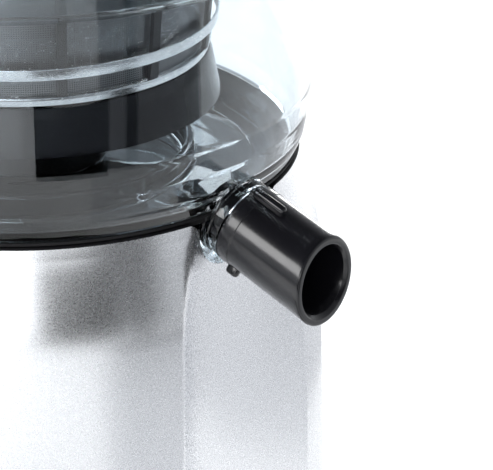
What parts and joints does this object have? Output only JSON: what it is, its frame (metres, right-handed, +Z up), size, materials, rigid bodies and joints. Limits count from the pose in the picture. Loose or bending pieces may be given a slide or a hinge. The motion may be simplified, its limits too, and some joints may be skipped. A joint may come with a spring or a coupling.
{
  "type": "centrifugal juicer",
  "caption": "Centrifugal juicer: round silver motor base with a scooped side, smoky clear juice bowl, sloping drip-stop spout, spinning sieve basket, pulp ring, lid, feed tube and pushers.",
  "frame": {"origin": "the drive axis, at the plane the feet stand on", "axes": "+Z up along the drive axis, -Y towards the front where the control knob is, the spout 39 degrees from +X towards the front"},
  "size_m": [0.2105, 0.2316, 0.398],
  "materials": {
    "silver_paint": "satin silver metallic paint on moulded plastic",
    "black_gloss": "polished black",
    "black_matt": "fine moulded texture",
    "smoky_clear": "polished, smoky transparent",
    "dark_grey": "semi-gloss dark grey",
    "steel": "bright stainless steel",
    "rubber": "matt black",
    "copper": "varnished copper wire",
    "board_green": "solder-resist green"
  },
  "bodies": {
    "base": {"housing_shell": "silver_paint", "base_plate": "black_matt", "foot_1": "rubber", "foot_2": "rubber", "foot_3": "rubber", "foot_4": "rubber", "plate_screw_1": "steel", "plate_screw_2": "steel", "plate_screw_3": "steel", "plate_screw_4": "steel", "motor_frame_bottom": "steel", "motor_frame_top": "steel", "stator_core": "steel", "winding_bottom": "copper", "winding_top": "copper", "motor_bearing_bottom": "steel", "motor_bearing_top": "steel", "motor_bolt_1": "steel", "motor_bolt_2": "steel", "motor_bolt_3": "steel", "motor_bolt_4": "steel", "motor_damper_1": "rubber", "motor_damper_2": "rubber", "motor_damper_3": "rubber", "motor_damper_4": "rubber", "run_capacitor": "dark_grey", "control_board": "board_green", "switch_body": "dark_grey", "control_bezel": "steel", "cord_gland": "rubber", "drive_tower": "black_matt", "tower_bearing": "steel", "tower_seal": "rubber", "bowl_gasket": "rubber", "interlock_switch": "black_matt"},
    "rotor": {"motor_shaft": "steel", "motor_rotor": "steel", "cooling_fan": "dark_grey", "drive_coupling": "steel"},
    "knob": {"control_knob": "black_gloss"},
    "pin": {"interlock_pin": "black_matt"},
    "bowl": {"juice_bowl": "smoky_clear", "nozzle_seal": "rubber"},
    "nozzle": {"spout_nozzle": "black_gloss"},
    "basket": {"basket_hub": "black_gloss", "drip_skirt": "dark_grey", "sieve_ring": "steel", "sieve_wall": "steel", "sieve_hoop": "steel", "basket_frame": "black_matt", "grating_disc": "steel", "disc_nut": "black_gloss"},
    "collector": {"pulp_collector": "smoky_clear"},
    "lid": {"lid_dome": "smoky_clear", "feed_tube": "smoky_clear"},
    "pusher": {"pusher_body": "black_matt", "pusher_cap": "silver_paint"},
    "inner_pusher": {"small_pusher": "black_matt", "small_pusher_cap": "black_gloss"}
  },
  "joints": [
    {"name": "motor_spin", "type": "hinge", "parent": "base", "child": "rotor", "pos_m": [0, 0, 0.1], "axis": [0, 0, 1], "continuous": true},
    {"name": "knob_turn", "type": "hinge", "parent": "base", "child": "knob", "pos_m": [0, -0.11, 0.066], "axis": [0, -1, 0], "range_deg": [-60, 60]},
    {"name": "interlock_press", "type": "slide", "parent": "base", "child": "pin", "axis": [0, 0, 1], "range_m": [-0.003, 0], "stiffness_N_per_m": 200, "springref_m": 0.0005},
    {"name": "bowl_lift", "type": "slide", "parent": "base", "child": "bowl", "axis": [0, 0, 1], "range_m": [0, 0.06]},
    {"name": "nozzle_turn", "type": "hinge", "parent": "bowl", "child": "nozzle", "pos_m": [0.07336, -0.05941, 0.167], "axis": [0.7321, -0.5929, -0.3355], "range_deg": [0, 90]},
    {"name": "basket_spin", "type": "hinge", "parent": "bowl", "child": "basket", "pos_m": [0, 0, 0.21], "axis": [0, 0, 1], "continuous": true},
    {"name": "collector_lift", "type": "slide", "parent": "bowl", "child": "collector", "axis": [0, 0, 1], "range_m": [0, 0.06]},
    {"name": "lid_lift", "type": "slide", "parent": "collector", "child": "lid", "axis": [0, 0, 1], "range_m": [0, 0.09]},
    {"name": "pusher_slide", "type": "slide", "parent": "lid", "child": "pusher", "axis": [0, 0, 1], "range_m": [0, 0.14]},
    {"name": "inner_pusher_slide", "type": "slide", "parent": "pusher", "child": "inner_pusher", "axis": [0, 0, 1], "range_m": [0, 0.14]}
  ],
  "couplings": [
    {"joint": "basket_spin", "follows": "motor_spin", "ratio": 1}
  ]
}
